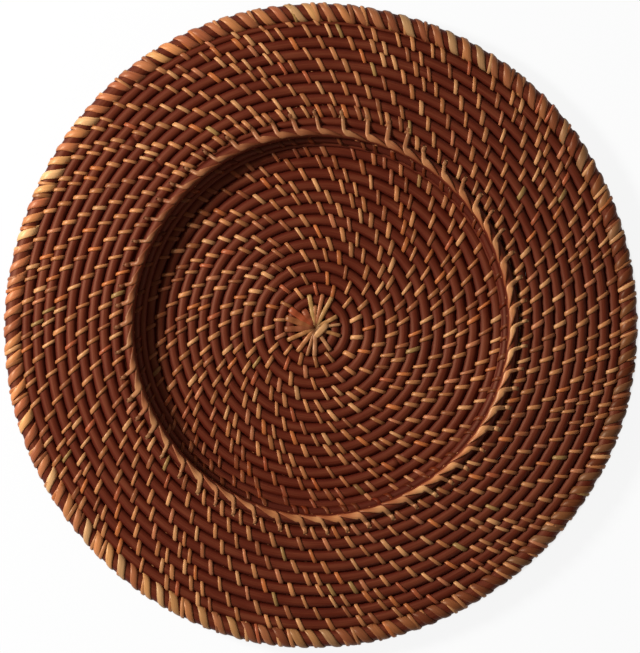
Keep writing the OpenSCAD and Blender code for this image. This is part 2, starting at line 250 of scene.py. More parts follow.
# a round rod along angles and places (radius, height, half width, half height)
def rodStrand(angles, rods, sides, ring, seed, crestPaint=crestWearAndShade):
    turn = np.linspace(0, 2 * np.pi, sides, endpoint=False) - np.pi / 2
    rings, grain = [], []
    run = 0.0
    before = None
    for angle, (r, z, wide, tall) in zip(angles, rods):
        a = math.radians(angle)
        here = np.array([r * math.cos(a), r * math.sin(a), z])
        run += 0 if before is None else np.linalg.norm(here - before)
        before = here
        outward = r + wide * np.cos(turn)
        rings.append(np.stack([outward * math.cos(a), outward * math.sin(a), z + tall * np.sin(turn)], 1))
        along = np.full(sides, run + grainApart["rod"] * seed)
        grain.append(np.stack([along, wide * np.cos(turn), tall * np.sin(turn)], 1))
    # painted light and shade: pale on the crest, darker on the flanks towards the grooves
    facing = np.sin(turn - math.radians(crestPaint["tilt"]))
    paleShare = np.clip((facing - crestPaint["low"]) / (crestPaint["high"] - crestPaint["low"]), 0, 1)
    crest = np.tile((paleShare * paleShare * (3 - 2 * paleShare) * crestPaint["most"])[:, None], (len(rings), 3))
    return {"rings": np.array(rings), "grain": np.array(grain), "colour": crest, "ring": ring}


# outline of a split peel across: flat below, crowned above, as shares of width and thickness
peelSection = np.array([
    (-0.50, 0.00), (-0.50, 0.42), (-0.37, 0.82), (-0.13, 1.0),
    (0.13, 1.0), (0.37, 0.82), (0.50, 0.42), (0.50, 0.00),
])


# a strip along a path of (out, round, up) in mm, bent with the plate at an angle
def peelStrand(path, widths, thicks, angle, colour, seed, curved=True, section=peelSection):
    along = np.gradient(path, axis=0)
    along /= np.linalg.norm(along, axis=1)[:, None]
    flat = np.hypot(along[:, 0], along[:, 2])[:, None]
    normal = np.stack([-along[:, 2], np.zeros(len(path)), along[:, 0]], 1) / np.maximum(flat, 1e-6)
    across = np.cross(along, normal)
    local = (path[:, None, :] + across[:, None, :] * section[None, :, :1] * widths[:, None, None]
             + normal[:, None, :] * section[None, :, 1:] * thicks[:, None, None])
    if curved:
        a = math.radians(angle) + local[..., 1] / np.maximum(local[..., 0], 1)
        rings = np.stack([local[..., 0] * np.cos(a), local[..., 0] * np.sin(a), local[..., 2]], -1)
    else:
        a = math.radians(angle)
        rings = np.stack([local[..., 0] * math.cos(a) - local[..., 1] * math.sin(a),
                          local[..., 0] * math.sin(a) + local[..., 1] * math.cos(a), local[..., 2]], -1)
    step = np.linalg.norm(np.diff(path, axis=0), axis=1)
    run = np.concatenate([[0], np.cumsum(step)]) + grainApart["peel"] * seed
    grain = np.stack([np.repeat(run[:, None], len(section), 1),
                      section[None, :, 0] * widths[:, None], section[None, :, 1] * thicks[:, None]], -1)
    return {"rings": rings, "grain": grain, "colour": colour, "ring": False}


def addNode(tree, kind, settings=None, links=None):
    node = tree.nodes.new(kind)
    for key, value in (settings or {}).items():
        if isinstance(key, str) and hasattr(node, key):
            setattr(node, key, value)
        else:
            node.inputs[key].default_value = value
    for key, source in (links or {}).items():
        tree.links.new(source, node.inputs[key])
    return node


def newMaterial(name):
    material = bpy.data.materials.new(name)
    material.use_nodes = True
    tree = material.node_tree
    return material, tree, tree.nodes["Principled BSDF"]


# peeled rattan core, stained mahogany and lacquered: dark pores run along it, the stain lies uneven
coreStain = {
    "dark": "#400f08", "mid": "#52190c", "pale": "#713721",
    "mottle": 0.46,
    "sheen": "#eaa880",     # the lacquer itself is tinted
    "poreLength": 22.0, "poreWidth": 0.55,     # mm; real pores are about 0.2 mm, drawn coarser to show
    "patchLength": 26.0, "patchAcross": 0.12,       # mm, and patches to a mm across
    "spread": (0.7, 1.32), "crestPaint": (-0.05, 0.4),
    "roughness": (0.48, 0.60),
}


def coreMaterial(name, settings):
    material, tree, shader = newMaterial(name)
    grain = addNode(tree, "ShaderNodeAttribute", {"attribute_name": "grain"})
    pores = addNode(tree, "ShaderNodeVectorMath", {
        "operation": "MULTIPLY",
        1: (1 / settings["poreLength"], 1 / settings["poreWidth"], 1 / settings["poreWidth"])},
        {0: grain.outputs["Vector"]})
    poreNoise = addNode(tree, "ShaderNodeTexNoise", {"Scale": 1.0, "Detail": 3.0, "Roughness": 0.6},
                        {"Vector": pores.outputs[0]})
    patch = addNode(tree, "ShaderNodeVectorMath", {
        "operation": "MULTIPLY",
        1: (1 / settings["patchLength"], settings["patchAcross"], settings["patchAcross"])},
        {0: grain.outputs["Vector"]})
    patchNoise = addNode(tree, "ShaderNodeTexNoise", {"Scale": 1.0, "Detail": 2.0},
                         {"Vector": patch.outputs[0]})
    both = addNode(tree, "ShaderNodeMath", {"operation": "ADD"},
                   {0: poreNoise.outputs["Fac"], 1: patchNoise.outputs["Fac"]})
    ramp = addNode(tree, "ShaderNodeMapRange", {
        "From Min": settings["spread"][0], "From Max": settings["spread"][1]}, {"Value": both.outputs[0]})
    # the tint attribute carries each rod's crest paint: partly wear, partly painted light and shade
    crest = addNode(tree, "ShaderNodeAttribute", {"attribute_name": "tint"})
    paleShare = addNode(tree, "ShaderNodeMapRange", {
        "clamp": False, "To Min": settings["crestPaint"][0], "To Max": settings["crestPaint"][1]},
        {"Value": crest.outputs["Fac"]})
    stain = addNode(tree, "ShaderNodeMath", {"operation": "MULTIPLY_ADD", 1: settings["mottle"]},
                    {0: ramp.outputs["Result"], 2: paleShare.outputs["Result"]})
    colour = addNode(tree, "ShaderNodeValToRGB", None, {"Fac": stain.outputs[0]})
    stops = colour.color_ramp.elements
    stops[0].color = linearFromHex(settings["dark"]) + [1]
    stops[1].color = linearFromHex(settings["pale"]) + [1]
    middle = stops.new(0.5)
    middle.color = linearFromHex(settings["mid"]) + [1]
    rough = addNode(tree, "ShaderNodeMapRange", {
        "To Min": settings["roughness"][0], "To Max": settings["roughness"][1]},
        {"Value": poreNoise.outputs["Fac"]})
    bump = addNode(tree, "ShaderNodeBump", {"Strength": 0.35, "Distance": 0.00012},
                   {"Height": poreNoise.outputs["Fac"]})
    tree.links.new(colour.outputs["Color"], shader.inputs["Base Color"])
    tree.links.new(rough.outputs["Result"], shader.inputs["Roughness"])
    tree.links.new(bump.outputs["Normal"], shader.inputs["Normal"])
    shader.inputs["IOR"].default_value = 1.5
    shader.inputs["Specular IOR Level"].default_value = 0.48
    shader.inputs["Specular Tint"].default_value = linearFromHex(settings["sheen"]) + [1]
    return material


# split rattan peel, glossy outer skin with fine fibres along it, stained honey; the strips are painted darker
# as shade where they tuck into the grooves
peelFinish = {
    "fibreLength": 14.0, "fibreWidth": 0.45,     # mm; real fibres are about 0.1 mm, drawn coarser to show
    "fibreDepth": 0.30,
    "sheen": "#f8d8b4",
    "roughness": (0.34, 0.48),
    "dull": 0.16, "gloss": (0.04, 0.45),    # tint below which the gloss falls, and its range
}


def peelMaterial(name, settings):
    material, tree, shader = newMaterial(name)
    grain = addNode(tree, "ShaderNodeAttribute", {"attribute_name": "grain"})
    tint = addNode(tree, "ShaderNodeAttribute", {"attribute_name": "tint"})
    fibres = addNode(tree, "ShaderNodeVectorMath", {
        "operation": "MULTIPLY",
        1: (1 / settings["fibreLength"], 1 / settings["fibreWidth"], 1 / settings["fibreWidth"])},
        {0: grain.outputs["Vector"]})
    fibreNoise = addNode(tree, "ShaderNodeTexNoise", {"Scale": 1.0, "Detail": 3.0, "Roughness": 0.55},
                         {"Vector": fibres.outputs[0]})
    depth = addNode(tree, "ShaderNodeMapRange", {
        "From Min": 0.3, "From Max": 0.7, "To Min": 1 - settings["fibreDepth"], "To Max": 1.0},
        {"Value": fibreNoise.outputs["Fac"]})
    colour = addNode(tree, "ShaderNodeMix", {"data_type": "RGBA", "blend_type": "MULTIPLY", 0: 1.0},
                     {6: tint.outputs["Color"], 7: depth.outputs["Result"]})
    rough = addNode(tree, "ShaderNodeMapRange", {
        "To Min": settings["roughness"][0], "To Max": settings["roughness"][1]},
        {"Value": fibreNoise.outputs["Fac"]})
    bump = addNode(tree, "ShaderNodeBump", {"Strength": 0.3, "Distance": 0.0001},
                   {"Height": fibreNoise.outputs["Fac"]})
    tree.links.new(colour.outputs[2], shader.inputs["Base Color"])
    tree.links.new(rough.outputs["Result"], shader.inputs["Roughness"])
    tree.links.new(bump.outputs["Normal"], shader.inputs["Normal"])
    # strips painted dark, with stain or with painted shade, are dull as well
    gloss = addNode(tree, "ShaderNodeMapRange", {
        "From Max": settings["dull"], "To Min": settings["gloss"][0], "To Max": settings["gloss"][1]},
        {"Value": tint.outputs["Fac"]})
    tree.links.new(gloss.outputs["Result"], shader.inputs["Specular IOR Level"])
    shader.inputs["IOR"].default_value = 1.5
    shader.inputs["Specular Tint"].default_value = linearFromHex(settings["sheen"]) + [1]
    return material


stainedCore = coreMaterial("mahogany stained rattan core, lacquered", coreStain)
stainedHoop = coreMaterial("mahogany stained rattan hoop, lacquered", coreStain)
honeyPeel = peelMaterial("honey stained rattan peel, split", peelFinish)
honeyLashing = peelMaterial("honey stained rattan peel, half round lashing", peelFinish)
print("materials made")


def place(piece, material, slotName, *nodes):
    piece.data.materials.append(material)
    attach(piece, "root")
    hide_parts(*nodes)


# core rods: each length of a coil, with its tails
rodMesh = {"step": 2.4, "sides": 16, "hoopSides": 24, "least": 40}


def coilLength(coil, first, last):
    angles, rods = [], []
    if coil is rim and first == rim["first"]:
        for k in range(wedge["startSteps"], 0, -1):
            angles.append(coil["angle"] - 360 * first + wedge["startReach"] * k / wedge["startSteps"])
            rods.append(wedgeRod(angles[-1], False))
    length = (last - first) * 2 * math.pi * coilRadius(coil, (first + last) / 2)
    count = max(rodMesh["least"], int(length / rodMesh["step"]))
    for k in range(count + 1):
        turns = first + (last - first) * k / count
        angles.append(coil["angle"] - 360 * turns)
        rods.append(coilRod(coil, turns))
    if coil is well and last == well["turns"]:
        for k in range(1, tail["steps"] + 1):
            share = k / tail["steps"]
            angles.append(coil["angle"] - 360 * last - share * tail["turn"] * 360)
            rods.append(tailRod(share, angles[-1]))
    if coil is rim and last == rim["turns"]:
        for k in range(1, wedge["endSteps"] + 1):
            angles.append(coil["angle"] - 360 * last - wedge["endReach"] * k / wedge["endSteps"])
            rods.append(wedgeRod(angles[-1], True))
    return angles, rods


coilLengths = {
    "floorCoreInner": (well, well["curl"], 13, "well_core_inner"),
    "floorCoreOuter": (well, 13, well["turns"], "well_core_outer"),
    "rimCoreInner": (rim, rim["first"], 3, "rim_core_inner"),
    "rimCoreMiddle": (rim, 3, 6, "rim_core_middle"),
    "rimCoreOuter": (rim, 6, rim["turns"], "rim_core_outer"),
}
for seed, (name, (coil, first, last, node)) in enumerate(coilLengths.items()):
    angles, rods = coilLength(coil, first, last)
    strand = rodStrand(angles, rods, rodMesh["sides"], False, seed + 1)
    place(meshFromStrands(name, [strand]), stainedCore, "rattan_core", node)

hoops = {
    "wallHoop": ("wall", "wall_hoop", wallHoopShade),
    "ridgeHoop": ("ridge", "ridge_hoop", ridgeWearAndLight),
    "borderHoop": ("border", "border_hoop", crestWearAndShade),
}
for seed, (name, (key, node, crestPaint)) in enumerate(hoops.items()):
    count = int(2 * math.pi * plate[key][0] / rodMesh["step"])
    angles = [360 * k / count for k in range(count)]
    rods = [hoopRod(plate[key], a) for a in angles]
    strand = rodStrand(angles, rods, rodMesh["hoopSides"], True, seed + 11, crestPaint)
    place(meshFromStrands(name, [strand]), stainedHoop, "rattan_hoop", node)
print("core rods and hoops made")

# rows of stitches from the centre outward, each on the rod outside it
rows = ([("well", n) for n in range(1, 14)] + [("wall", 0), ("ridge", 0), ("seam", 0)]
        + [("rim", n) for n in range(8)] + [("border", 0)])


def rowRods(row, angle):
    kind, n = row
    if kind == "well":
        return coilTurn(well, n, angle), coilTurn(well, n + 1, angle)
    if kind == "wall":
        return floorEdge(angle), hoopRod(plate["wall"], angle)
    if kind == "ridge":
        return hoopRod(plate["wall"], angle), hoopRod(plate["ridge"], angle)
    if kind == "seam":
        return hoopRod(plate["ridge"], angle), rimEdge(angle, False)
    if kind == "rim":
        return coilTurn(rim, n, angle), coilTurn(rim, n + 1, angle)
    return rimEdge(angle, True), hoopRod(plate["border"], angle)


stitch = {
    "first": 14,            # stitches in the innermost row
    "step": 11.2, "rimStep": 13.0, "stepSpread": 0.2,   # mm; a wider gap in the row inside takes two stitches
    "two": (0.27, 0.76), "one": (0.49,),        # where they stand in that gap
    "least": 5.2, "room": 0.2,      # mm from the next stitch, and past one in the row inside
    "lean": 4.2, "fullLean": 45,    # mm from the groove inside the rod to the one outside, from this radius on
    "width": 2.05, "widthSpread": 0.2,
    "thick": 0.62, "below": 0.5,    # pressed flatter underneath
    "fit": 0.05, "proud": 0.2,      # the strip stands off the rod, and more off its sides
    "over": (212, -70), "overPoints": 17, "leanPoints": 14,     # degrees round the outer rod, and points there
    "up": (258, 176), "upByRidge": 222, "steep": -0.15,     # round the inner rod; behind the ridge it stays low
}


def rowLean(index):
    return stitch["lean"] * min(1, rowRods(rows[index], 90)[1][0] / stitch["fullLean"])


def growRow(inside, index):
    mm = math.pi * rowRods(rows[index], 90)[0][0] / 180
    ahead = (rowLean(index) + rowLean(index - 1)) / 2 / mm
    around = (stitch["width"] + stitch["room"]) / mm
    step = stitch["step" if rows[index][0] == "well" else "rimStep"]
    angles = []
    for i, start in enumerate(inside):
        gap = (inside[i + 1] if i + 1 < len(inside) else inside[0] + 360) - start
        scatter = 2 * ((i * 0.618 + index * 0.371) % 1) - 1     # even, from -1 to 1
        wide = step * (1 + stitch["stepSpread"] * scatter)
        for share in stitch["two" if gap * mm > wide else "one"]:
            angle = start + share * gap
            for _ in range(4):
                past = [((angle - other - ahead) % 360 + 540) % 360 - 180 for other in inside]
                block = max([around - p for p in past if abs(p) < around] or [0])
                angle += block
            angles.append(angle)
    kept = []
    for angle in angles:
        if kept and (angle - kept[-1]) * mm < stitch["least"]:
            continue
        if kept and (kept[0] + 360 - angle) * mm < stitch["least"]:
            continue
        kept.append(angle)
    return kept


# the ridge has its own even spacing; its strip comes up inside the hoop, runs along its crest,
# turns in a plump bead and crosses to the rim's first rod
ridgeStitch = {
    "count": 56, "drift": (0.12, 5.1),
    "turns": (238, 208, 178, 150, 128, 112, 103, 98, 94, 89, 79, 62),       # degrees round the hoop
    "off": (-1.2, -1.2, -1.1, -0.9, -0.4, 0.0, 0.05, 0.05, 0.05, 0.05, 0.05, 0.05),     # mm off its skin
    "landing": (142, 122, 100, 72), "arch": 0.2,        # degrees round the rim's first rod
    # mm along the ridge, over it and back below
    "along": (-14.4, -14.0, -13.4, -12.4, -10.4, -7.8, -5.4, -3.6, -2.3,
              -1.3, -0.6, 0.1, 0.8, 1.4, 2.0, 2.4, 2.6),
    "back": (2.4, -9.0),
    "wider": 1.05, "bead": 0.6, "beadAt": 0.5, "beadLength": 0.11, "thick": 0.8,
    # the run along the hoop is darker and redder up to this share of the strip, and the landing somewhat darker
    "dark": (0.55, 0.36, 0.32), "darkTo": 0.28, "fade": 0.26, "landingShade": 0.9,
    "paintedLight": np.array((0.43, 0.55, 0.55)), "ridgeLitAt": -35,    # painted light: paler and yellower on the lower right, darker on the upper left
}
rowAngles = [[(i + 0.5) * 360 / stitch["first"] for i in range(stitch["first"])]]
for index in range(1, len(rows)):
    if rows[index][0] == "ridge":
        size, rate = ridgeStitch["drift"]
        rowAngles.append([(i + size * math.sin(rate * i)) * 360 / ridgeStitch["count"]
                          for i in range(ridgeStitch["count"])])
    else:
        rowAngles.append(growRow(rowAngles[-1], index))
print("stitches in each row:", [len(a) for a in rowAngles])

# honey shades of the peel, with how often each comes
peelShades = [("#b47244", 6), ("#c07c4a", 6), ("#cc8e5a", 3), ("#a66438", 5), ("#925230", 3),
              ("#b86634", 2), ("#9e7642", 0.7), ("#b46c46", 1.5), ("#a65230", 0.8)]
# colour of the painted shade, with some stain, where a strip goes down into a groove
grooveShadeAndStain = np.array(linearFromHex("#3a170b"))
shadePicks = np.array([weight for _, weight in peelShades]) / sum(weight for _, weight in peelShades)
shadeColours = np.array([linearFromHex(code) for code, _ in peelShades])


# the place on a rod's skin that faces a direction, or a little off it
def skinPoint(rod, a, off):
    r, z, wide, tall = rod
    c, s = math.cos(a), math.sin(a)
    size = math.hypot(wide * c, tall * s)
    return r + wide * wide * c / size + off * c, z + tall * tall * s / size + off * s


# a stitch: up out of the groove, over the outer rod, down, under both rods and up into the groove inside
# on the ridge it goes on over the rod beyond
def stitchStrand(rods, angle, lean, rng, colour, beyond=None):
    inner, outer = rods
    rb, zb = outer[:2]
    slope = math.atan2(zb - inner[1], rb - inner[0])
    fit, count, turned = stitch["fit"], stitch["overPoints"], stitch["leanPoints"]
    proud = (rb, zb, outer[2] + stitch["proud"], outer[3])
    path = [skinPoint(proud, a, fit) for a in np.radians(np.linspace(*stitch["over"], count)) + slope]
    if beyond:
        path = [skinPoint(outer, math.radians(a), off)
                for a, off in zip(ridgeStitch["turns"], ridgeStitch["off"])]
        land = [skinPoint(beyond, math.radians(a), fit) for a in ridgeStitch["landing"]]
        arch = ((path[-1][0] + land[0][0]) / 2, (path[-1][1] + land[0][1]) / 2 + ridgeStitch["arch"])
        path += [arch] + land
    under = slope - math.pi / 2
    fromOuter = np.array(skinPoint(outer, under, -fit))
    toInner = np.array(skinPoint(inner, under, -fit))
    for share in (0.05, 0.5, 0.95):
        path.append(tuple(fromOuter + (toInner - fromOuter) * share))
    upTo = stitch["up"][1] if slope > stitch["steep"] else stitch["upByRidge"]
    for a in np.radians(np.linspace(stitch["up"][0], upTo, 5)) + slope:
        path.append(skinPoint(inner, a, -fit))
    path = np.array(path)
    half = proud[2] + fit + stitch["thick"]
    out = (path[:, 0] - rb) * math.cos(slope) + (path[:, 1] - zb) * math.sin(slope)
    sideways = out / half * lean / 2
    sideways[turned:] = np.linspace(lean / 2, -lean / 2, len(path) - turned)
    widths = np.full(len(path), stitch["width"] * (1 + stitch["widthSpread"] * rng.uniform(-1, 1)))
    over = np.linspace(0, 1, count)
    widths[:count] *= 0.86 + 0.14 * np.sin(np.pi * over)
    thicks = np.full(len(path), stitch["thick"] * rng.uniform(0.9, 1.12))
    thicks[count:] = stitch["below"]
    # painted shade: darker where the strip goes down into the grooves, mixed with a little groove stain
    grooveShade = np.ones(len(path))
    grooveShade[:count] = np.sin(np.pi * over) ** 0.6
    tints = colour[None, :] * (0.5 + 0.5 * grooveShade[:, None]) + grooveShadeAndStain[None, :] * (1 - grooveShade[:, None]) * 0.3
    if beyond:
        sideways[:count] = ridgeStitch["along"]
        sideways[count:] = np.linspace(*ridgeStitch["back"], len(path) - count)
        bead = np.exp(-((over - ridgeStitch["beadAt"]) / ridgeStitch["beadLength"]) ** 2)
        widths[:count] *= ridgeStitch["wider"] + ridgeStitch["bead"] * bead
        thicks[:count] = ridgeStitch["thick"]
        paleShare = np.maximum(bead, np.clip((over - ridgeStitch["darkTo"]) / ridgeStitch["fade"], 0, 1))[:, None]
        tints[:count] *= paleShare + (1 - paleShare) * np.array(ridgeStitch["dark"])
        tints[len(ridgeStitch["turns"]) + 1:count] *= ridgeStitch["landingShade"]
    path3 = np.stack([path[:, 0], sideways, path[:, 1]], 1)
    return peelStrand(path3, widths, thicks, angle, tints, int(angle * 10) % 997)


# where the floor's tail leaves its coil, the rod beside it is stitched to it as well
def tailStitches():
    found = []
    reach = tail["leave"] * tail["turn"] * 360
    count = int(math.radians(reach) * well["end"] / tail["stitchStep"])
    for k in range(count):
        share = (k + 0.6) / count
        angle = well["angle"] - share * reach
        beside = coilTurn(well, well["turns"] - 1, angle)
        found.append((angle, (beside, tailRod(share * tail["leave"], angle))))
    return found


# and so is the end of the rim's rod
def wedgeStitches():
    found = []
    for k in range(wedge["stitches"]):
        part = (k + 0.5) / wedge["stitches"] * wedge["stitched"]
        angle = rim["angle"] - 360 * part
        found.append((angle, (coilRod(rim, rim["turns"] - 1 + part), wedgeRod(angle, True))))
    return found


# strips in the step are painted darker as shade, and so are the floor's last rows, least on the right, which
# faces the light; the painted shade turns redder
wallStitchShade = np.array((0.30, 0.16, 0.13))
edgeStitchShade = {("well", 11): 0.2, ("well", 12): 0.38, ("well", 13): 0.55}
shadeRedder = np.array((0.7, 1.2, 1.3))
ridgeShades = ["#b87449", "#c07f50", "#b26f43", "#c68a58"]
rng = np.random.default_rng(4117)
rowStitches = []
for index, row in enumerate(rows):
    made = []
    lean = rowLean(index)
    places = [(angle, rowRods(row, angle)) for angle in rowAngles[index]]
    places += tailStitches() if row == ("well", 13) else wedgeStitches() if row == ("rim", 7) else []
    for angle, rods in places:
        shade = shadeColours[rng.choice(len(shadeColours), p=shadePicks)] * rng.uniform(0.82, 1.14)
        # painted shade on the strips in the step and on the floor's last rows
        if row[0] == "wall":
            shade = shade * wallStitchShade
        if row in edgeStitchShade:
            unshaded = 1 - edgeStitchShade[row] * (1 - max(0, math.cos(math.radians(angle))))
            shade = shade * unshaded ** shadeRedder
        if row[0] == "ridge":
            code = ridgeShades[rng.integers(len(ridgeShades))]
            shade = np.array(linearFromHex(code)) * rng.uniform(0.85, 1.1)
            # painted light and shade by the strip's side of the ridge
            shade *= 1 + ridgeStitch["paintedLight"] * math.cos(math.radians(angle - ridgeStitch["ridgeLitAt"]))
            made.append(stitchStrand(rods, angle, lean, rng, shade, rimEdge(angle, False)))
            continue
        made.append(stitchStrand(rods, angle, lean * rng.uniform(0.85, 1.12), rng, shade))
    rowStitches.append(made)


def runOf(first, last, share=0, shares=1):
    strands = [strand for made in rowStitches[first:last + 1] for strand in made]
    return strands[len(strands) * share // shares:len(strands) * (share + 1) // shares]


# each node's first and last row, and which part of them where several lengths of strip share them
bindings = {
    "floorStitchesInner": (runOf(0, 9, 0, 3), "well_binding_1"),
    "floorStitchesMiddle": (runOf(0, 9, 1, 3), "well_binding_2"),
    "floorStitchesOuter": (runOf(0, 9, 2, 3), "well_binding_3"),
    "footStitches": (runOf(10, 10), "foot_binding"),
    "floorEdgeStitches": (runOf(11, 12), "floor_edge_binding"),
    "wallStitches": (runOf(13, 13), "wall_binding"),
    "ridgeStitches": (runOf(14, 14), "ridge_binding"),
    "seamStitches": (runOf(15, 15), "rim_seam_binding"),
    "rimStitches1": (runOf(16, 23, 0, 4), "rim_binding_1"),
    "rimStitches2": (runOf(16, 23, 1, 4), "rim_binding_2"),
    "rimStitches3": (runOf(16, 23, 2, 4), "rim_binding_3"),
    "rimStitches4": (runOf(16, 23, 3, 4), "rim_binding_4"),
    "borderStitches": (runOf(24, 24), "border_binding"),
}
for name, (strands, node) in bindings.items():
    place(meshFromStrands(name, strands), honeyPeel, "rattan_peel", node)
print("stitches made:", sum(len(made) for made in rowStitches))

# star at the centre: each arm's angle, reach and greatest width, with its shade
star = {"thick": 0.75, "taper": 0.7, "fit": 0.15, "points": 14, "sway": 0.5}
starArms = [
    (103, 18.0, 2.4, "#b8884e"), (90, 14.0, 2.2, "#a8663c"), (78, 17.5, 2.2, "#b06840"),
    (61, 17.0, 2.3, "#b8844e"), (27, 13.0, 2.2, "#b07a48"), (6, 12.5, 1.6, "#b07a50"),
    (340, 11.5, 2.0, "#a06a3c"), (306, 11.5, 2.1, "#a87048"), (270, 12.5, 2.3, "#b47850"),
    (251, 12.0, 1.8, "#9c603a"), (230, 13.5, 2.4, "#b87446"), (201, 15.0, 2.3, "#ac7040"),
    (181, 13.5, 3.2, "#8a4a2c"), (163, 15.5, 3.2, "#94542e"), (142, 15.5, 3.4, "#9c4626"),
    (122, 13.0, 3.2, "#8c4428"),
]


# an arm rises in the eye, drapes over the first turns, and goes down into a groove and back below
def starStrand(angle, target, width, rng, colour):
    turns = [coilTurn(well, n, angle) for n in range(3)]
    grooves = [(turns[n][0] + turns[n + 1][0]) / 2 for n in range(2)]
    reach = min(grooves, key=lambda g: abs(g - target))
    fit, floor = star["fit"], plate["floor"]
    top = floor + plate["rod"][1] + fit
    low = floor - plate["rod"][1] + 0.1
    path = [(0.35, floor - 1.6), (0.6, floor + 0.6), (0.95, top - 0.9)]
    for r in np.linspace(1.5, reach - 0.5, star["points"]):
        drape = [zc + (tall + fit) * math.sqrt(1 - ((r - rc) / (wide + fit)) ** 2)
                 for rc, zc, wide, tall in turns if abs(r - rc) < wide + fit]
        path.append((r, max(drape + [top - 0.4 - 0.35 * (r < 2.2)])))
    path += [(reach - 0.15, top - 0.8), (reach + 0.1, floor + 0.6), (reach + 0.05, floor - 1.0),
             (reach - 0.7, low), (reach * 0.6, low), (2.0, low), (1.0, low + 0.9)]
    path = np.array(path)
    widths = np.clip(star["taper"] * path[:, 0] + 0.3, 0.6, width)
    thicks = np.full(len(path), star["thick"])
    thicks[star["points"] + 5:] = stitch["below"]
    fade = np.clip(path[:, 0] / 4, 0.45, 1)     # painted shade: darker in the eye and below
    fade[star["points"] + 3:] = 0.5
    sway = rng.uniform(-star["sway"], star["sway"]) * path[:, 0] / 10
    path3 = np.stack([path[:, 0], sway, path[:, 1]], 1)
    tints = colour[None, :] * fade[:, None]
    return peelStrand(path3, widths, thicks, angle, tints, int(angle), curved=False)


# the broad strip that starts the coil, laid slantwise beside the eye
startWrap = {
    "middle": (3.0, -1.2), "angle": 47.0, "length": 10.5, "width": 3.5, "thick": 0.8,
    "rise": 0.75, "drop": 2.6, "points": 15,
    "shade": "#cc9460",
}


def startStrand():
    count = startWrap["points"]
    share = np.linspace(-0.5, 0.5, count)
    top = plate["floor"] + plate["rod"][1] + startWrap["rise"]
    drop = startWrap["drop"] * np.abs(2 * share) ** 5
    along = np.stack([share * startWrap["length"], np.zeros(count), top - drop], 1)
    widths = startWrap["width"] * (0.55 + 0.45 * np.cos(share * np.pi) ** 0.7)
    thicks = np.full(count, startWrap["thick"])
    shade = np.array(linearFromHex(startWrap["shade"]))
    # painted shade: darker towards the ends, where it dips into the grooves
    tints = shade[None, :] * (1 - 0.35 * np.abs(2 * share) ** 3)[:, None]
    strand = peelStrand(along, widths, thicks, startWrap["angle"], tints, 5, curved=False)
    strand["rings"][..., :2] += np.array(startWrap["middle"])
    return strand


arms = [starStrand(angle, reach, width, rng, np.array(linearFromHex(shade)))
        for angle, reach, width, shade in starArms]
place(meshFromStrands("starArms", arms + [startStrand()]), honeyPeel, "rattan_peel", "star_binding")

# lashing of the border: one strip wound round it, slanting over the top and straight across below
lashing = {
    "wraps": 122, "width": 4.2, "thick": 0.8, "points": 26,
    "seat": (4.4, 3.7),     # half width and half height of the loop
    "slant": 10.4, "slantTurn": 200,        # mm along the border, over these degrees round it
    "paintedLight": 0.74, "litAt": 160, "litMost": 1.6,       # painted light: paler on the side facing the light, darker and redder opposite
    "shadedHue": np.array((0.8, 1.08, 1.15)),
}
lashShades = ["#b06e40", "#c08650", "#9c5a36", "#bc8c5c", "#a4623c", "#8e4c2e"]
lashSection = np.array([
    (-0.50, 0.00), (-0.47, 0.36), (-0.34, 0.76), (-0.12, 1.0),
    (0.12, 1.0), (0.34, 0.76), (0.47, 0.36), (0.50, 0.00),
])


def lashStrand(i, rng):
    middle = 360 * i / lashing["wraps"]
    rc, zc = hoopRod(plate["border"], middle)[:2]
    wide, tall = lashing["seat"]
    turn = np.radians(np.linspace(225, -135, lashing["points"], endpoint=False))
    slantTurn = np.radians(lashing["slantTurn"])
    over = np.clip((slantTurn - turn) / slantTurn, 0, 1)
    crown = np.sin(over * np.pi)
    sideways = (over - 0.5) * lashing["slant"] * rng.uniform(0.92, 1.06)
    path = np.stack([rc + wide * np.cos(turn), sideways, zc + tall * np.sin(turn)], 1)
    widths = lashing["width"] * rng.uniform(0.86, 1.1) * (0.78 + 0.22 * crown)
    thicks = lashing["thick"] * rng.uniform(0.88, 1.12) * (0.8 + 0.2 * crown)
    shade = np.array(linearFromHex(lashShades[rng.integers(len(lashShades))])) * rng.uniform(0.85, 1.12)
    # painted light and shade by the wrap's side of the plate
    litShare = 1 + lashing["paintedLight"] * math.cos(math.radians(middle - lashing["litAt"]))
    shade *= min(litShare, lashing["litMost"]) if litShare > 1 else litShare ** lashing["shadedHue"]
    # painted shade: darker where the strip turns down round the sides and below
    tints = shade[None, :] * (0.45 + 0.55 * crown ** 0.5)[:, None]
    return peelStrand(path, widths, thicks, middle, tints, i, section=lashSection)


wraps = [lashStrand(i, rng) for i in range(lashing["wraps"])]
place(meshFromStrands("borderLashing", wraps), honeyLashing, "rattan_wrap", "border_wraps")
print("star and lashing made")


# what looks straight at the floor or the walls, or by way of gloss or glass, is shown plain white there
def whiteRays(tree):
    ray = addNode(tree, "ShaderNodeLightPath")
    seen = addNode(tree, "ShaderNodeMath", {"operation": "MAXIMUM"},
                   {0: ray.outputs["Is Camera Ray"], 1: ray.outputs["Is Glossy Ray"]})
    return addNode(tree, "ShaderNodeMath", {"operation": "MAXIMUM"},
                   {0: seen.outputs[0], 1: ray.outputs["Is Transmission Ray"]}).outputs[0]


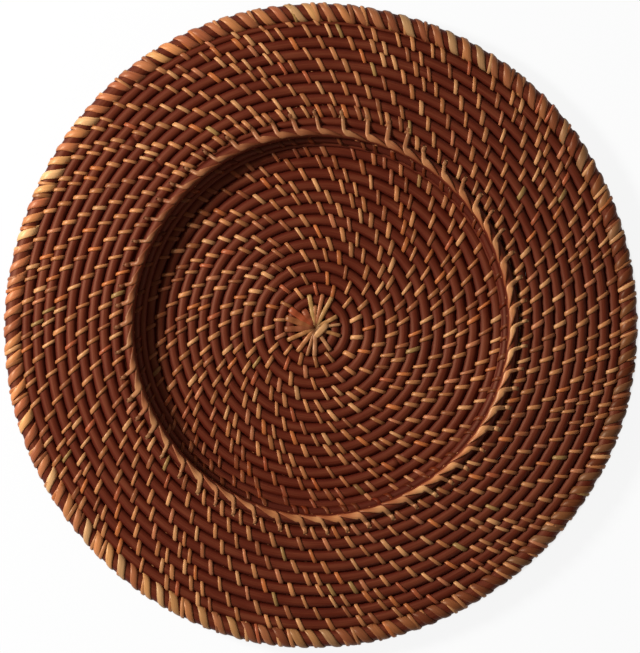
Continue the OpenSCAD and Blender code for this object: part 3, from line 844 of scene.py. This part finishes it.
# pale floor that shows as white around the plate, with the plate's shadow on it
floorCard = {"half": 3, "shade": 0.8, "whiteFrom": 0.159, "whiteTo": 0.166, "white": 0.9}      # lengths in m
floorMesh = bpy.data.meshes.new("paleFloor")
corners = [(x * floorCard["half"], y * floorCard["half"], 0) for x, y in ((-1, -1), (1, -1), (1, 1), (-1, 1))]
floorMesh.from_pydata(corners, [], [(0, 1, 2, 3)])
floor = bpy.data.objects.new("paleFloor", floorMesh)
bpy.context.collection.objects.link(floor)
floorPaint, floorTree, floorShader = newMaterial("white studio card")
floorShader.inputs["Base Color"].default_value = [floorCard["shade"]] * 3 + [1]
floorShader.inputs["Roughness"].default_value = 0.9
glow = addNode(floorTree, "ShaderNodeEmission", {"Color": (1, 1, 1, 1), "Strength": 1.0})
spot = addNode(floorTree, "ShaderNodeTexCoord")
across = addNode(floorTree, "ShaderNodeVectorMath", {"operation": "LENGTH"}, {0: spot.outputs["Object"]})
clear = addNode(floorTree, "ShaderNodeMapRange", {
    "From Min": floorCard["whiteFrom"], "From Max": floorCard["whiteTo"],
    "To Min": 0.0, "To Max": floorCard["white"]}, {"Value": across.outputs["Value"]})
share = addNode(floorTree, "ShaderNodeMath", {"operation": "MULTIPLY"},
                {0: whiteRays(floorTree), 1: clear.outputs["Result"]})
mixed = addNode(floorTree, "ShaderNodeMixShader", None,
                {0: share.outputs[0], 1: floorShader.outputs[0], 2: glow.outputs[0]})
floorTree.links.new(mixed.outputs[0], floorTree.nodes["Material Output"].inputs["Surface"])
floorMesh.materials.append(floorPaint)

# soft key from the left, white walls and an even, dimmer surround above them
studio = {
    "keyPower": 30.0, "keyFrom": (-1.14, 0.37, 0.82), "keySize": 0.3,       # W and m
    "surround": 0.2, "wallTop": (0.25, 0.55),       # the walls end softly between these heights
}
keyData = bpy.data.lights.new("keySoftbox", "AREA")
keyData.energy = studio["keyPower"]
keyData.size = studio["keySize"]
key = bpy.data.objects.new("keySoftbox", keyData)
key.location = studio["keyFrom"]
key.rotation_euler = Vector(studio["keyFrom"]).to_track_quat("Z", "Y").to_euler()
bpy.context.collection.objects.link(key)
world = bpy.data.worlds.new("studioSurround")
bpy.context.scene.world = world
world.use_nodes = True
worldTree = world.node_tree
surround = worldTree.nodes["Background"]
surround.inputs["Color"].default_value = (1, 1, 1, 1)
surround.inputs["Strength"].default_value = studio["surround"]
white = addNode(worldTree, "ShaderNodeBackground", {"Color": (1, 1, 1, 1), "Strength": 1.0})
lookUp = addNode(worldTree, "ShaderNodeTexCoord")
height = addNode(worldTree, "ShaderNodeSeparateXYZ", None, {0: lookUp.outputs["Generated"]})
walls = addNode(worldTree, "ShaderNodeMapRange", {
    "From Min": studio["wallTop"][0], "From Max": studio["wallTop"][1], "To Min": 1.0, "To Max": 0.0},
    {"Value": height.outputs["Z"]})
worldShare = addNode(worldTree, "ShaderNodeMath", {"operation": "MULTIPLY"},
                     {0: whiteRays(worldTree), 1: walls.outputs["Result"]})
worldMix = addNode(worldTree, "ShaderNodeMixShader", None,
                   {0: worldShare.outputs[0], 1: surround.outputs[0], 2: white.outputs[0]})
worldTree.links.new(worldMix.outputs[0], worldTree.nodes["World Output"].inputs["Surface"])

# camera straight above, long lens, the plate filling a frame of 640 by 653
photo = {
    "width": 640, "middle": (321.1, 325.4), "frameMiddle": (320.0, 326.5), "mmPerPixel": 0.5182,
    "sensor": 36.0, "height": 1.6, "planeHeight": 0.0091,       # mm, and m above the floor of camera and rim
}
pixel = photo["mmPerPixel"] * milli
cameraData = bpy.data.cameras.new("photoCamera")
camera = bpy.data.objects.new("photoCamera", cameraData)
bpy.context.collection.objects.link(camera)
cameraData.sensor_fit = "HORIZONTAL"
cameraData.sensor_width = photo["sensor"]
cameraData.lens = photo["sensor"] * (photo["height"] - photo["planeHeight"]) / (photo["width"] * pixel)
camera.location = ((photo["frameMiddle"][0] - photo["middle"][0]) * pixel,
                   (photo["middle"][1] - photo["frameMiddle"][1]) * pixel,
                   photo["height"])
cameraData.clip_end = 20
bpy.context.scene.camera = camera
bpy.context.scene.view_settings.view_transform = "Standard"
print("light and camera set")
